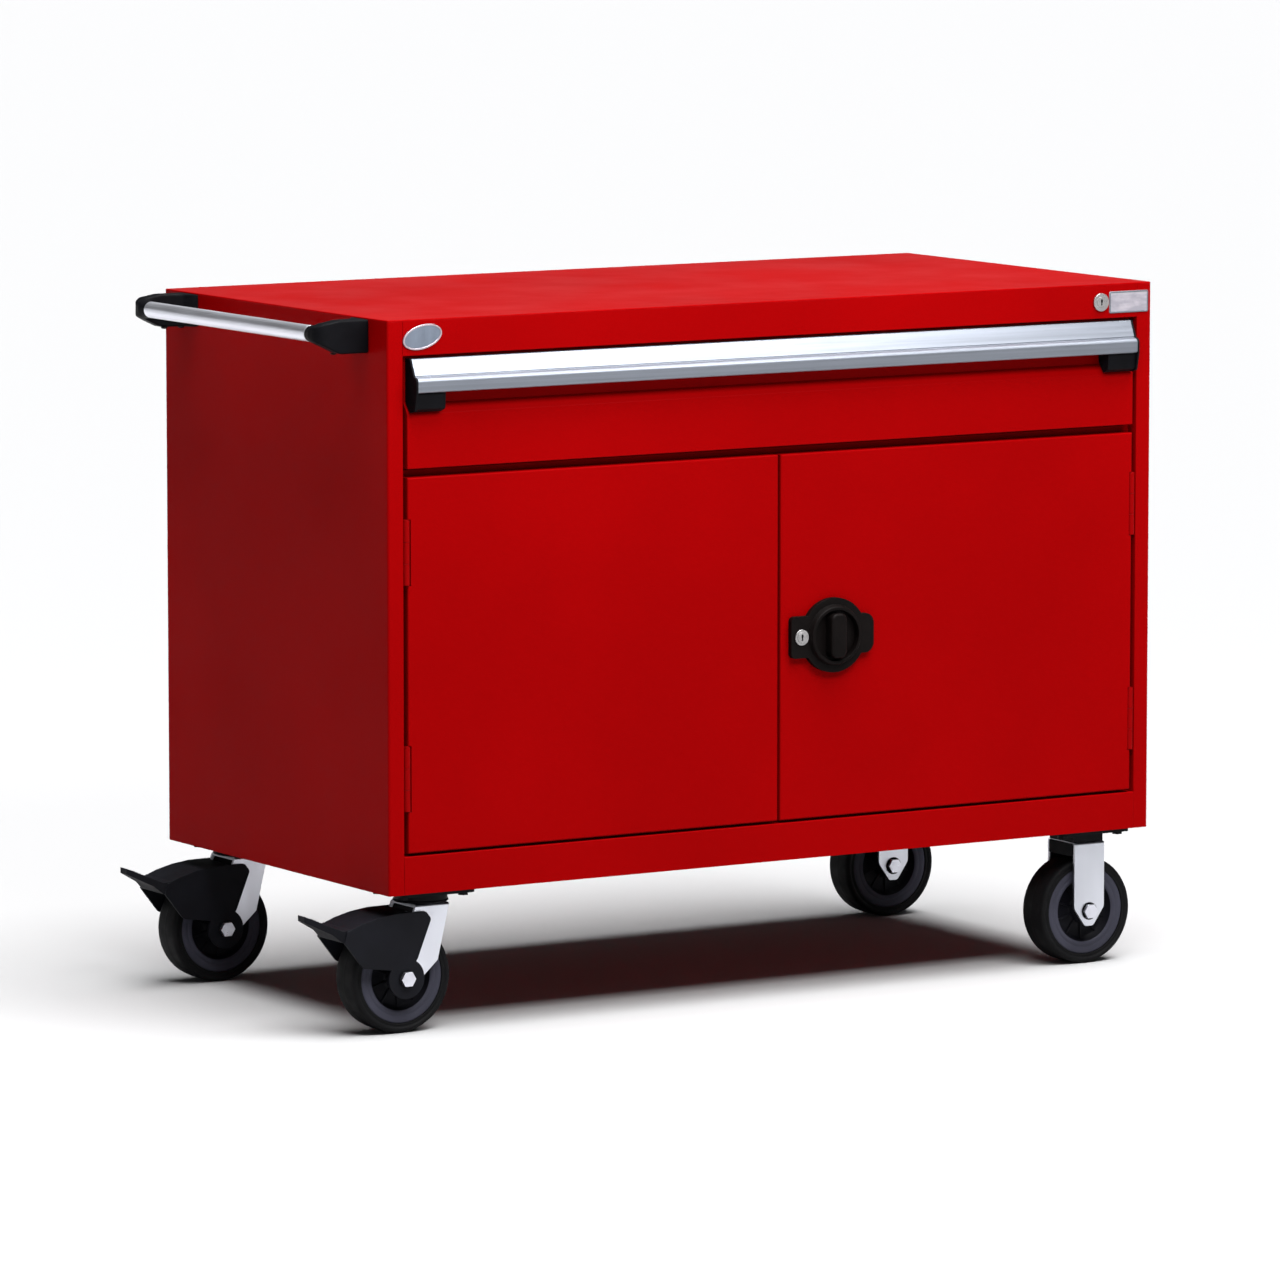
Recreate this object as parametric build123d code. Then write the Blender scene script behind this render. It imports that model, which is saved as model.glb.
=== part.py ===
from build123d import *
import os
from math import cos, pi, radians, sin, tan

# Mobile steel bench cabinet: one full-width drawer over two hinged doors, on four casters,
# with a push handle on its left side. Millimetres, +Z up, the front faces -Y.
# The model is laid out with x = 0 on the cabinet's centre plane, y = 0 on its front face and
# z = 0 on its underside, and export() moves it so that the floor is z = 0 and the origin is
# the bottom centre of the whole object's box.

# Driving dimensions
CABINET_W = 1219.2
CABINET_D = 609.6
CABINET_H = 762.0
CASTER_H = 190.5            # floor to the cabinet's underside
SHEET = 2.0                 # housing sheet
THIN = 1.5                  # door and drawer sheet
STILE_W = 23.5              # front face beside the openings
SIDE_GAP = 6.5              # stile to door or drawer edge
HEADER_Z = 714.0            # underside of the front header
RAIL_Z = 51.0               # top of the bottom rail
DOOR_Z0, DOOR_Z1 = 55.0, 553.5
DOOR_T = 18.0
DOOR_GAP = 4.0              # between the two doors
DRAWER_Z0, DRAWER_Z1 = 565.0, 712.0
DRAWER_STEP_Z = 637.0       # where the flat lower part of the drawer front ends
DRAWER_TRAVEL = 540.0
WHEEL_R = 75.0
TREAD_W = 51.0
CASTER_X = 529.0            # caster plate centre from the cabinet's centre plane
CASTER_Y = 57.0             # and from the front and back faces
TRAIL = 43.0                # swivel axis to wheel axle
HANDLE_STANDOFF = 67.0      # push tube axis from the side panel

# Worked out from them
HALF_W = CABINET_W / 2
STILE_X = HALF_W - STILE_W
EDGE_X = STILE_X - SIDE_GAP             # outer edge of a door and of the drawer front
INNER_X = HALF_W - SHEET
TOP_Z = CABINET_H - SHEET               # underside of the top sheet
AXLE_Z = WHEEL_R - CASTER_H
PEDAL_REACH = 711.0 - HALF_W            # pedal tip beyond the left side
GRIP_OUT = 22.0                         # latch grip in front of the front face
SHIFT_X = PEDAL_REACH / 2
SHIFT_Y = -(CABINET_D - GRIP_OUT) / 2
ROWS = {"front": CASTER_Y, "rear": CABINET_D - CASTER_Y}


def export(name, *solids):
    """Write one node; identical pieces may share it as separate solids."""
    moved = [Pos(SHIFT_X, SHIFT_Y, CASTER_H) * s for s in solids]
    export_step(moved[0] if len(moved) == 1 else Compound(children=moved), f"parts/{name}.step")


def block(x0, x1, y0, y1, z0, z1):
    """Box between two corners."""
    box = Box(abs(x1 - x0), abs(y1 - y0), abs(z1 - z0))
    return Pos((x0 + x1) / 2, (y0 + y1) / 2, (z0 + z1) / 2) * box


def rod_x(radius, x0, x1, y, z):
    """Round bar along X."""
    return Pos((x0 + x1) / 2, y, z) * Rot(0, 90, 0) * Cylinder(radius, abs(x1 - x0))


def rod_y(radius, y0, y1, x, z):
    """Round bar along Y."""
    return Pos(x, (y0 + y1) / 2, z) * Rot(90, 0, 0) * Cylinder(radius, abs(y1 - y0))


def rod_z(radius, z0, z1, x, y):
    """Round bar along Z."""
    return Pos(x, y, (z0 + z1) / 2) * Cylinder(radius, abs(z1 - z0))


def hex_y(across_flats, y0, y1, x, z):
    """Hexagonal bar along Y."""
    face = RegularPolygon(across_flats / 2, 6, major_radius=False)
    return Pos(x, y1, z) * Rot(90, 0, 0) * extrude(face, y1 - y0)


def along_x(points, x0, x1, rounds=()):
    """Extrude an outline of (y, z) points from x0 to x1; rounds is ((point, radius), ...)."""
    face = outline(points, rounds)
    return Plane.YZ.offset(x0) * extrude(face, x1 - x0)


def along_y(points, y0, y1, rounds=()):
    """Extrude an outline of (x, z) points from y0 to y1."""
    face = outline(points, rounds)
    return Pos(0, y1, 0) * Rot(90, 0, 0) * extrude(face, y1 - y0)


def along_z(points, z0, z1, rounds=()):
    """Extrude an outline of (x, y) points from z0 to z1."""
    return Pos(0, 0, z0) * extrude(outline(points, rounds), z1 - z0)


def outline(points, rounds=()):
    """Closed flat outline with some of its corners rounded."""
    face = make_face(Polyline(*points, close=True))
    for corner, radius in rounds:
        near = face.vertices().sort_by_distance((*corner, 0))[0]
        face = fillet(near, radius)
    return face


def flip(solid):
    """The same piece on the other side of the cabinet."""
    return mirror(solid, about=Plane.YZ)


# ---- housing -------------------------------------------------------------------------------

def side_panel():
    """Right side sheet, folded round to the front stile and to a rear return."""
    stile_back, return_w = 20.0, 19.6
    points = [
        (HALF_W, 0), (STILE_X, 0), (STILE_X, stile_back), (STILE_X + SHEET, stile_back),
        (STILE_X + SHEET, SHEET), (INNER_X, SHEET), (INNER_X, CABINET_D - SHEET),
        (HALF_W - return_w, CABINET_D - SHEET), (HALF_W - return_w, CABINET_D), (HALF_W, CABINET_D),
    ]
    rounds = (((HALF_W, 0), 3.0), ((HALF_W, CABINET_D), 3.0), ((STILE_X, 0), 1.2))
    return along_z(points, 0, TOP_Z, rounds)


def top_panel():
    corners = [(HALF_W, 0), (HALF_W, CABINET_D), (-HALF_W, CABINET_D), (-HALF_W, 0)]
    plate = along_z(corners, TOP_Z, CABINET_H, [(c, 3.0) for c in corners])
    return fillet(plate.edges().group_by(Axis.Z)[-1], 1.4)


def front_header():
    """Band above the drawer with a return; a slot in it lets the lock's tongue drop."""
    back = 20.0
    points = [(0, HEADER_Z), (0, TOP_Z), (SHEET, TOP_Z), (SHEET, HEADER_Z + SHEET),
              (back, HEADER_Z + SHEET), (back, HEADER_Z)]
    band = along_x(points, -STILE_X, STILE_X, (((0, HEADER_Z), 1.2),))
    band -= block(LOCK_X - 27, LOCK_X + 12, 12.5, back, HEADER_Z - 1, HEADER_Z + 3)
    return band - rod_y(LOCK_R + 0.1, -1, SHEET + 1, LOCK_X, LOCK_Z)


def bottom_rail():
    """Band below the doors with a return and a stop that stands behind the doors."""
    stop_y, stop_z = 19.5, 62.0
    points = [(0, 0), (0, RAIL_Z), (stop_y, RAIL_Z), (stop_y, stop_z), (stop_y + SHEET, stop_z),
              (stop_y + SHEET, RAIL_Z - SHEET), (SHEET, RAIL_Z - SHEET), (SHEET, 0)]
    return along_x(points, -STILE_X, STILE_X, (((0, RAIL_Z), 1.2),))


def divider():
    """Shelf between drawer and doors, and the stop strip welded under it behind the doors' top."""
    stop_y, low, high = 19.5, 546.0, 562.0
    sheet = block(-STILE_X, STILE_X, stop_y, CABINET_D - 4, high - THIN, high)
    sheet += block(-INNER_X, INNER_X, 24, CABINET_D - 4, high - THIN, high)
    return sheet, block(-STILE_X, STILE_X, stop_y, stop_y + SHEET, low, high - THIN)


def base_channel():
    """Channel under the floor that carries one pair of casters."""
    half, wall, height = 56.9, 3.0, 47.0
    x0, x1 = CASTER_X - half, CASTER_X + half
    channel = block(x0, x1, 3, CABINET_D - 4, 0, height)
    channel -= block(x0 + wall, x1 - wall, 2, CABINET_D, wall, height + 1)
    for row_y in ROWS.values():
        channel -= plate_holes(CASTER_X, row_y, 0, wall)
    return channel


def cabinet_floor():
    """Floor sheet of the door space, notched round the stiles."""
    low, high, back = RAIL_Z - 4, RAIL_Z - SHEET, CABINET_D - 3.5
    return block(-STILE_X, STILE_X, SHEET, back, low, high) + block(-INNER_X, INNER_X, 24, back, low, high)


def shelf():
    """Adjustable shelf with folded edges, on four clips."""
    z, edge, front, back, side = 300.0, 25.0, 60.0, 590.0, 600.0
    tray = block(-side, side, front, back, z - edge, z)
    return tray - block(-side + THIN, side - THIN, front + THIN, back - THIN, z - edge - 1, z - THIN)


def shelf_clips():
    """Hooked clips between the shelf's edge and the side panels."""
    clips = []
    for y in (110.0, 540.0):
        clip = block(600.3, INNER_X, y - 9, y + 9, 262, 292) + block(590, INNER_X, y - 9, y + 9, 262, 274)
        clips += [clip, flip(clip)]
    return clips


def catch_magnet():
    """Magnetic catch for the left door, on the divider's stop flange."""
    return block(-66, -26, 21.6, 33, 528, 546) + block(-66, -26, 21.6, 24, 528, 559)


# ---- push handle ---------------------------------------------------------------------------

TUBE_R = 11.0
TUBE_X = -HALF_W - HANDLE_STANDOFF
TUBE_Z = CABINET_H - 20.0
TUBE_WALL = 1.6
TUBE_Y = 84.0               # front end of the tube, against the front bracket


def push_handle_tube():
    tube = rod_y(TUBE_R, TUBE_Y, CABINET_D - TUBE_Y, TUBE_X, TUBE_Z)
    return tube - rod_y(TUBE_R - TUBE_WALL, TUBE_Y - 1, CABINET_D, TUBE_X, TUBE_Z)


def push_handle_bracket():
    """Front bracket: a moulded elbow from the side panel to the tube, with a spigot inside it."""
    front, back, neck = 48.0, 98.0, 69.0
    out, low, high = TUBE_X - TUBE_R - 0.5, CABINET_H - 46.0, CABINET_H - 1.5
    plan = [(-HALF_W, front), (out, front), (out, neck), (TUBE_X + 20, neck), (-HALF_W - 14, neck + 6),
            (-HALF_W, back)]
    rounds = (((out, front), 17.0), ((TUBE_X + 20, neck), 10.0), ((-HALF_W - 14, neck + 6), 8.0))
    shoulder = TUBE_X + 24
    view = [(-HALF_W, low), (-HALF_W, high), (shoulder, high), (TUBE_X, TUBE_Z + 14.5), (out, TUBE_Z + 9),
            (out, TUBE_Z - 9), (TUBE_X, TUBE_Z - 14.5), (shoulder, low)]
    soft = [((shoulder, high), 16.0), ((shoulder, low), 16.0)]
    soft += [((out, TUBE_Z + 9), 5.0), ((out, TUBE_Z - 9), 5.0)]
    bracket = along_z(plan, low, high, rounds) & along_y(view, front, back, soft)
    collar = revolve(outline([(0, 0), (13.0, 0), (TUBE_R, TUBE_Y - neck), (0, TUBE_Y - neck)]), Axis.Y)
    bracket += Pos(TUBE_X, neck, TUBE_Z) * collar
    return bracket + rod_y(TUBE_R - TUBE_WALL - 0.05, TUBE_Y - 1, TUBE_Y + 22, TUBE_X, TUBE_Z)


# ---- doors and hinges ----------------------------------------------------------------------

HINGE_X = EDGE_X + 0.8
HINGE_Y = 3.5
HINGE_R = 4.8
PIN_R = 2.5
HINGE_LEN = 86.0
NOTCH_X = 575.0             # the door's edge is cut back to here beside a hinge
HINGE_Z = (DOOR_Z0 + 56.0, DOOR_Z1 - 56.0 - HINGE_LEN)
KNUCKLE = 28.4


def door(latch_side):
    """Right door: a folded pan, cut back at its hinges; latch_side adds the latch holes."""
    x0 = DOOR_GAP / 2
    pan = block(x0, EDGE_X, 0, DOOR_T, DOOR_Z0, DOOR_Z1)
    pan = fillet(pan.edges().group_by(Axis.Y)[0], 2.0)
    hollow = block(x0 + THIN, EDGE_X - THIN, THIN, DOOR_T + 1, DOOR_Z0 + THIN, DOOR_Z1 - THIN)
    for z in HINGE_Z:
        pan -= block(NOTCH_X, EDGE_X + 1, -1, DOOR_T + 1, z - 1, z + HINGE_LEN + 1)
        hollow -= block(NOTCH_X - THIN, EDGE_X, -1, DOOR_T + 2, z - 1 - THIN, z + HINGE_LEN + 1 + THIN)
    pan -= hollow
    if latch_side:
        pan -= rod_y(12, -1, THIN + 1, LATCH_X, LATCH_Z)
        pan -= rod_y(LOCK_R + 0.1, -1, THIN + 1, KEY_X, LATCH_Z)
    return pan


def frame_leaf(z):
    """Fixed hinge leaf: two knuckles on a plate against the stile's return."""
    leaf = block(STILE_X - 1.6, STILE_X, 10, 19, z, z + HINGE_LEN)
    for z0 in (z, z + HINGE_LEN - KNUCKLE):
        leaf += rod_z(HINGE_R, z0, z0 + KNUCKLE, HINGE_X, HINGE_Y)
        leaf += block(HINGE_X + 2.6, STILE_X, HINGE_Y, 12, z0, z0 + KNUCKLE)
    return leaf - rod_z(PIN_R + 0.05, z - 1, z + HINGE_LEN + 1, HINGE_X, HINGE_Y)


def door_leaf(z):
    """Moving hinge leaf: one knuckle on a plate against the door's edge."""
    z0, z1 = z + KNUCKLE + 0.4, z + HINGE_LEN - KNUCKLE - 0.4
    leaf = block(NOTCH_X, NOTCH_X + THIN, 9.5, 17.5, z, z + HINGE_LEN)
    leaf += rod_z(HINGE_R, z0, z1, HINGE_X, HINGE_Y)
    leaf += block(NOTCH_X, HINGE_X - 2.6, HINGE_Y, 11, z0, z1)
    return leaf - rod_z(PIN_R + 0.05, z - 1, z + HINGE_LEN + 1, HINGE_X, HINGE_Y)


def hinge_pin(z):
    """Hinge pin with a small domed head."""
    pin = rod_z(PIN_R, z + 0.5, z + HINGE_LEN, HINGE_X, HINGE_Y)
    return pin + rod_z(3.6, z + HINGE_LEN, z + HINGE_LEN + 0.9, HINGE_X, HINGE_Y)


# ---- door latch ----------------------------------------------------------------------------

LATCH_X, LATCH_Z = 84.0, 304.0
KEY_X = 31.0
LOCK_R = 10.3
PLUG_R = 7.4
BEZEL_R, WELL_R, BEZEL_OUT, LOBE_OUT = 51.0, 35.0, 15.0, 8.0
COLLAR_R = 42.0
SPINDLE_R = 6.0
GEAR_MODULE, GEAR_TEETH = 1.5, 12
PITCH_R = GEAR_MODULE * GEAR_TEETH / 2
TOOTH = 1.9                 # tooth thickness on the pitch line, with play
ADDENDUM, DEDENDUM = 1.1, 1.7
GEAR_Y0, GEAR_Y1 = 24.0, 30.0
ROD_W = 6.0
ROD_UP_Z, ROD_DOWN_Z = 541.5, 66.5      # rod tips when drawn back


def latch_escutcheon():
    """Moulded plate with a key lobe, a round bezel with a deep well, and a small ear."""
    lobe_h, ear_h, x0, x1 = 28.5, 27.0, 14.5, 147.5
    key_lobe = [(x0, LATCH_Z - lobe_h), (LATCH_X, LATCH_Z - lobe_h),
                (LATCH_X, LATCH_Z + lobe_h), (x0, LATCH_Z + lobe_h)]
    plate = along_y(key_lobe, -LOBE_OUT, 0, [(key_lobe[0], 7.0), (key_lobe[3], 7.0)])
    low, high = LATCH_Z - ear_h, LATCH_Z + ear_h
    ear = [(LATCH_X, low), (x1, low), (x1, high), (LATCH_X, high)]
    plate += along_y(ear, -LOBE_OUT, 0, [(ear[1], 14.0), (ear[2], 14.0)])
    profile = [(0, 0), (BEZEL_R, 0), (BEZEL_R, LOBE_OUT), (COLLAR_R, LOBE_OUT), (COLLAR_R - 3, BEZEL_OUT),
               (0, BEZEL_OUT)]
    bezel = revolve(Rot(90, 0, 0) * outline(profile), Axis.Z)
    plate += Pos(LATCH_X, 0, LATCH_Z) * Rot(90, 0, 0) * bezel
    rim = plate.edges().group_by(Axis.Y)[0]
    plate = fillet(rim, 2.0)
    plate -= rod_y(WELL_R, -BEZEL_OUT - 1, -2.5, LATCH_X, LATCH_Z)
    plate -= rod_y(SPINDLE_R + 0.06, -5, 1, LATCH_X, LATCH_Z)
    return plate - rod_y(LOCK_R, -LOBE_OUT - 1, 1, KEY_X, LATCH_Z)


def latch_knob():
    """Turning disc in the well with an upright grip and a spindle."""
    grip_w, grip_h = 25.0, 61.0
    knob = rod_y(WELL_R - 0.6, -5.5, -3.0, LATCH_X, LATCH_Z)
    quarters = ((-1, -1), (1, -1), (1, 1), (-1, 1))
    corners = [(LATCH_X + i * grip_w / 2, LATCH_Z + k * grip_h / 2) for i, k in quarters]
    grip = along_y(corners, -GRIP_OUT, -5.0, [(c, 9.0) for c in corners])
    grip = fillet(grip.edges().group_by(Axis.Y)[0], 4.0)
    return knob + grip + rod_y(SPINDLE_R, -4, GEAR_Y0, LATCH_X, LATCH_Z)


def tooth(root, tip):
    """One straight-sided tooth pointing along +X; root and tip are measured from the pitch line."""
    low = TOOTH / 2 + root * tan(radians(20))
    high = TOOTH / 2 - tip * tan(radians(20))
    return [(-root, -low), (tip, -high), (tip, high), (-root, low)]


def latch_pinion():
    """Small gear on the spindle's inner end, in mesh with both rods."""
    root_r = PITCH_R - DEDENDUM
    gear = Circle(root_r)
    shape = make_face(Polyline(*tooth(DEDENDUM + 0.5, ADDENDUM), close=True))
    for k in range(GEAR_TEETH):
        gear += Rot(0, 0, (k + 0.5) * 360 / GEAR_TEETH) * Pos(PITCH_R, 0) * shape
    solid = extrude(gear, GEAR_Y1 - GEAR_Y0)
    return Pos(LATCH_X, GEAR_Y1, LATCH_Z) * Rot(90, 0, 0) * solid


def latch_rod(side, z0, z1, rack0, rack1, tip):
    """Lock rod beside the pinion: side +1 or -1, bar from z0 to z1, teeth from rack0 to rack1."""
    near = LATCH_X + side * (PITCH_R + DEDENDUM)
    far = near + side * ROD_W
    low, high = sorted((near, far))
    rod = block(low, high, GEAR_Y0, GEAR_Y1, z0, z1)
    nose = [e for e in rod.edges().filter_by(Axis.X) if abs(e.center().Z - tip) < 0.01]
    rod = chamfer(nose, 2.0)
    pitch = pi * GEAR_MODULE
    for k in range(-6, 7):
        z = LATCH_Z + k * pitch
        if rack0 < z < rack1:
            points = [(near - side * (d + DEDENDUM), z + h) for d, h in tooth(DEDENDUM, ADDENDUM)]
            rod += along_y(points, GEAR_Y0, GEAR_Y1)
    return rod


def latch_gearbox():
    """Housing behind the door sheet that carries the spindle and guides both rods."""
    box = block(LATCH_X - 24, LATCH_X + 24, THIN, 34, LATCH_Z - 29, LATCH_Z + 29)
    box -= block(LATCH_X - 20, LATCH_X + 20, GEAR_Y0 - 0.6, GEAR_Y1 + 0.6, LATCH_Z - 25, LATCH_Z + 25)
    near = PITCH_R + DEDENDUM - 0.4
    far = near + ROD_W + 0.8
    box -= block(LATCH_X + near, LATCH_X + far, GEAR_Y0 - 0.6, GEAR_Y1 + 0.6, LATCH_Z, LATCH_Z + 30)
    box -= block(LATCH_X - far, LATCH_X - near, GEAR_Y0 - 0.6, GEAR_Y1 + 0.6, LATCH_Z - 30, LATCH_Z)
    return box - rod_y(SPINDLE_R + 0.06, 0, GEAR_Y0, LATCH_X, LATCH_Z)


def rod_guide(side, z):
    """Guide block near a rod's tip, standing on the inside of the door sheet."""
    x = LATCH_X + side * (PITCH_R + DEDENDUM + ROD_W / 2)
    guide = block(x - 9, x + 9, THIN, 34, z - 7, z + 7)
    slot = ROD_W / 2 + 0.4
    return guide - block(x - slot, x + slot, GEAR_Y0 - 0.4, GEAR_Y1 + 0.4, z - 8, z + 8)


def lock_barrel(x, z, y0, y1, face_y, flange_r):
    """Lock barrel with a round flange in front of face_y and the bore for its plug."""
    barrel = rod_y(LOCK_R - 0.3, y0, y1, x, z) + rod_y(flange_r, y0, face_y, x, z)
    barrel = fillet(barrel.edges().group_by(Axis.Y)[0], 0.5)
    return barrel - rod_y(PLUG_R + 0.06, y0 - 1, y1 + 1, x, z)


def lock_plug(x, z, y0, y1, arm, direction):
    """Key plug with a slot for the key and a tongue on its inner end."""
    plug = rod_y(PLUG_R, y0, y1, x, z)
    plug -= block(x - 0.9, x + 0.9, y0 - 1, y0 + 9, z - 4.5, z + 4.5)
    half = 6.0
    if direction == "left":
        tongue = block(x - arm, x + half, y1, y1 + 2.5, z - half, z + half)
    else:
        tongue = block(x - half, x + half, y1, y1 + 2.5, z - arm, z + half)
    return plug + tongue


# ---- drawer --------------------------------------------------------------------------------

LOCK_X, LOCK_Z = 524.5, 737.0
TRAY_X, TRAY_Y0, TRAY_Y1, TRAY_Z0, TRAY_Z1 = 563.0, 20.0, 585.0, 575.0, 690.0
RECESS_Y = 10.5             # depth of the finger recess behind the front plane


def drawer_front():
    """Folded front: flat lower part, then a slope back to the wall behind the handle."""
    top, back = DRAWER_Z1, 20.0
    outer = [(0, DRAWER_Z0), (0, DRAWER_STEP_Z), (RECESS_Y, 651), (RECESS_Y, top)]
    sheet = outer + [(RECESS_Y + SHEET, top), (RECESS_Y + SHEET, 650.3), (SHEET, 636.3),
                     (SHEET, DRAWER_Z0 + SHEET), (back, DRAWER_Z0 + SHEET), (back, DRAWER_Z0)]
    rounds = (((0, DRAWER_STEP_Z), 2.0), ((0, DRAWER_Z0), 1.2))
    front = along_x(sheet, -EDGE_X, EDGE_X, rounds)
    end = along_x(outer + [(back, top), (back, DRAWER_Z0)], EDGE_X - SHEET, EDGE_X, rounds)
    return front + end + flip(end)


def drawer_tray():
    """Open steel tray behind the front: a floor, two sides and two ends, spot-welded together."""
    floor_top, side = TRAY_Z0 + THIN, TRAY_X - THIN
    right = block(side, TRAY_X, TRAY_Y0, TRAY_Y1, floor_top, TRAY_Z1)
    front = block(-side, side, TRAY_Y0, TRAY_Y0 + THIN, floor_top, TRAY_Z1)
    back = block(-side, side, TRAY_Y1 - THIN, TRAY_Y1, floor_top, TRAY_Z1)
    return block(-TRAY_X, TRAY_X, TRAY_Y0, TRAY_Y1, TRAY_Z0, floor_top), right, flip(right), front, back


HANDLE_X = 574.0


def drawer_handle():
    """Full-width extruded pull: a slanted face with a fine groove above a rounded lip."""
    points = [
        (RECESS_Y, 710.0), (-1.5, 710.0), (-11.6, 687.3), (-19.5, 684.0), (-19.5, 666.0), (-14.3, 666.0),
        (-14.3, 679.5), (-9.0, 683.0), (0.8, 706.6), (RECESS_Y - 2.6, 706.6), (RECESS_Y - 2.6, 690.0),
        (RECESS_Y, 690.0),
    ]
    rounds = (((-1.5, 710.0), 1.6), ((-19.5, 684.0), 6.0), ((-19.5, 666.0), 3.4), ((-14.3, 666.0), 1.2))
    bar = along_x(points, -HANDLE_X, HANDLE_X, rounds)
    return bar - rod_x(0.9, -HANDLE_X - 1, HANDLE_X + 1, -11.6, 687.6)


def handle_cap():
    """Right end cap: a thin plate over the pull's end and a block that closes the recess."""
    plate = [(RECESS_Y, 710.5), (-1.9, 710.5), (-12.0, 687.8), (-20.0, 684.3), (-20.0, 665.6), (-15, 642),
             (-1, 639.0), (RECESS_Y, 653.0)]
    cap = along_x(plate, HANDLE_X, HANDLE_X + 3, (((-20.0, 684.3), 6.0), ((-15, 642), 4.0)))
    fill = [(-14.0, 665.9), (-12.5, 644), (-1, 639.5), (RECESS_Y, 654), (RECESS_Y, 689.0), (4, 689),
            (-7, 665.9)]
    return cap + along_x(fill, HANDLE_X - 45, HANDLE_X + 1, (((-12.5, 644), 4.0),))


SLIDE_Y0, SLIDE_Y1, SLIDE_LOW, SLIDE_HIGH = 25.0, 585.0, 602.4, 637.6


def slide_channel(x0, side):
    """Channel of a drawer slide: web at x0, open towards side."""
    web = block(x0, x0 + side * 2, SLIDE_Y0, SLIDE_Y1, SLIDE_LOW, SLIDE_HIGH)
    for z in (SLIDE_LOW, SLIDE_HIGH - 2):
        web += block(x0, x0 + side * 7, SLIDE_Y0, SLIDE_Y1, z, z + 2)
    return web


def slide_inner():
    return slide_channel(TRAY_X, 1)


def slide_middle():
    """Middle member: two flat rails back to back on a web."""
    x = TRAY_X + 8.0
    bar = block(x, x + 2, SLIDE_Y0, SLIDE_Y1, SLIDE_LOW - 1.4, SLIDE_HIGH + 1.4)
    for x0, x1 in ((x - 5.4, x), (x + 2, x + 7.4)):
        bar += block(x0, x1, SLIDE_Y0, SLIDE_Y1, SLIDE_LOW + 2.6, SLIDE_HIGH - 2.6)
        bar -= block(x0 - 1, x1 + 1, SLIDE_Y0 - 1, SLIDE_Y1 + 1, SLIDE_LOW + 8, SLIDE_HIGH - 8)
    return bar + block(x, x + 2, SLIDE_Y0, SLIDE_Y1, SLIDE_LOW + 2, SLIDE_HIGH - 2)


def slide_outer():
    """Fixed member with three stand-off brackets to the side panel."""
    x = TRAY_X + 18.0
    rail = slide_channel(x, -1)
    for y in (45.0, 300.0, 545.0):
        rail += block(x, INNER_X, y - 15, y + 15, 612, 628)
    return rail


# ---- trim ----------------------------------------------------------------------------------

def badge_plate():
    """Plain oval plate on the header's left end."""
    oval = extrude(Ellipse(30.0, 16.0), 1.2)
    return Pos(-557, 0, 738.5) * Rot(90, 0, 0) * Rot(0, 0, 13) * oval


def label_plate():
    """Plain label plate on the header's right end."""
    corners = [(539, 721), (604, 721), (604, 751), (539, 751)]
    return along_y(corners, -1.0, 0, [(c, 2.5) for c in corners])


# ---- casters -------------------------------------------------------------------------------

HALF_TREAD = TREAD_W / 2
HUB_HALF = 28.7
LEG_IN, LEG_OUT = 29.0, 33.0            # fork leg faces from the wheel's centre plane
CHEEK_IN, CHEEK_OUT = 33.5, 37.5        # pedal cheek faces
AXLE_R = 6.0
KINGPIN_R = 6.0
PLATE_T = 5.0
CROWN_TOP = 172.0 - CASTER_H
CROWN_T = 4.0
PLATE_X, PLATE_Y = 57.15, 50.8
BOLT_X, BOLT_Y = 46.0, 33.35


def plate_holes(x, y, z0, z1):
    """The four mounting holes of a caster plate."""
    holes = [rod_z(4.5, z0 - 1, z1 + 1, x + i * BOLT_X, y + k * BOLT_Y) for i in (-1, 1) for k in (-1, 1)]
    return holes[0] + holes[1:]


def caster_plate(x, y, swivel):
    """Black top plate, with the swivel head or the spacer of a rigid caster."""
    corners = [(x + i * PLATE_X, y + k * PLATE_Y) for i, k in ((-1, -1), (1, -1), (1, 1), (-1, 1))]
    plate = along_z(corners, -PLATE_T, 0, [(c, 9.0) for c in corners])
    if swivel:
        plate += rod_z(36, CROWN_TOP + 0.5, -PLATE_T, x, y)
        plate -= rod_z(KINGPIN_R, -40, 1, x, y)
    else:
        plate += block(x - 24, x + 24, y - 30, y + 30, CROWN_TOP, -PLATE_T)
    return plate - plate_holes(x, y, -PLATE_T, 0)


def kingpin(x, y):
    """Swivel bolt and its nut under the fork's crown."""
    nut_top = CROWN_TOP - CROWN_T - 0.4
    pin = rod_z(KINGPIN_R, nut_top - 6, 0, x, y)
    nut = Pos(x, y, nut_top - 6) * extrude(RegularPolygon(8.5, 6, major_radius=False), 6)
    return pin + nut


def swivel_fork(y):
    """Pressed fork: flat crown under the swivel head, and two legs that slant back to the axle."""
    sx, ax = -CASTER_X, -CASTER_X - TRAIL
    low = CROWN_TOP - CROWN_T
    leg = [(sx - 26, CROWN_TOP), (sx + 25, CROWN_TOP), (sx + 12, AXLE_Z + 43), (sx + 7, AXLE_Z + 21),
           (ax + 11, AXLE_Z - 14), (ax - 17, AXLE_Z + 6)]
    rounds = (((sx + 7, AXLE_Z + 21), 5.0), ((sx + 12, AXLE_Z + 43), 40.0))
    sides = along_y(leg, y - LEG_OUT, y + LEG_OUT, rounds) + rod_y(18, y - LEG_OUT, y + LEG_OUT, ax, AXLE_Z)
    fork = sides - block(ax - 60, sx + 60, y - LEG_IN, y + LEG_IN, AXLE_Z - 30, low)
    top_edges = [e for e in fork.edges().filter_by(Axis.X) if e.center().Z > CROWN_TOP - 0.1]
    fork = fillet(top_edges, 3.5)
    fork -= rod_z(KINGPIN_R + 0.06, low - 1, 0, sx, y)
    return fork - rod_y(AXLE_R, y - 50, y + 50, ax, AXLE_Z)


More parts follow.
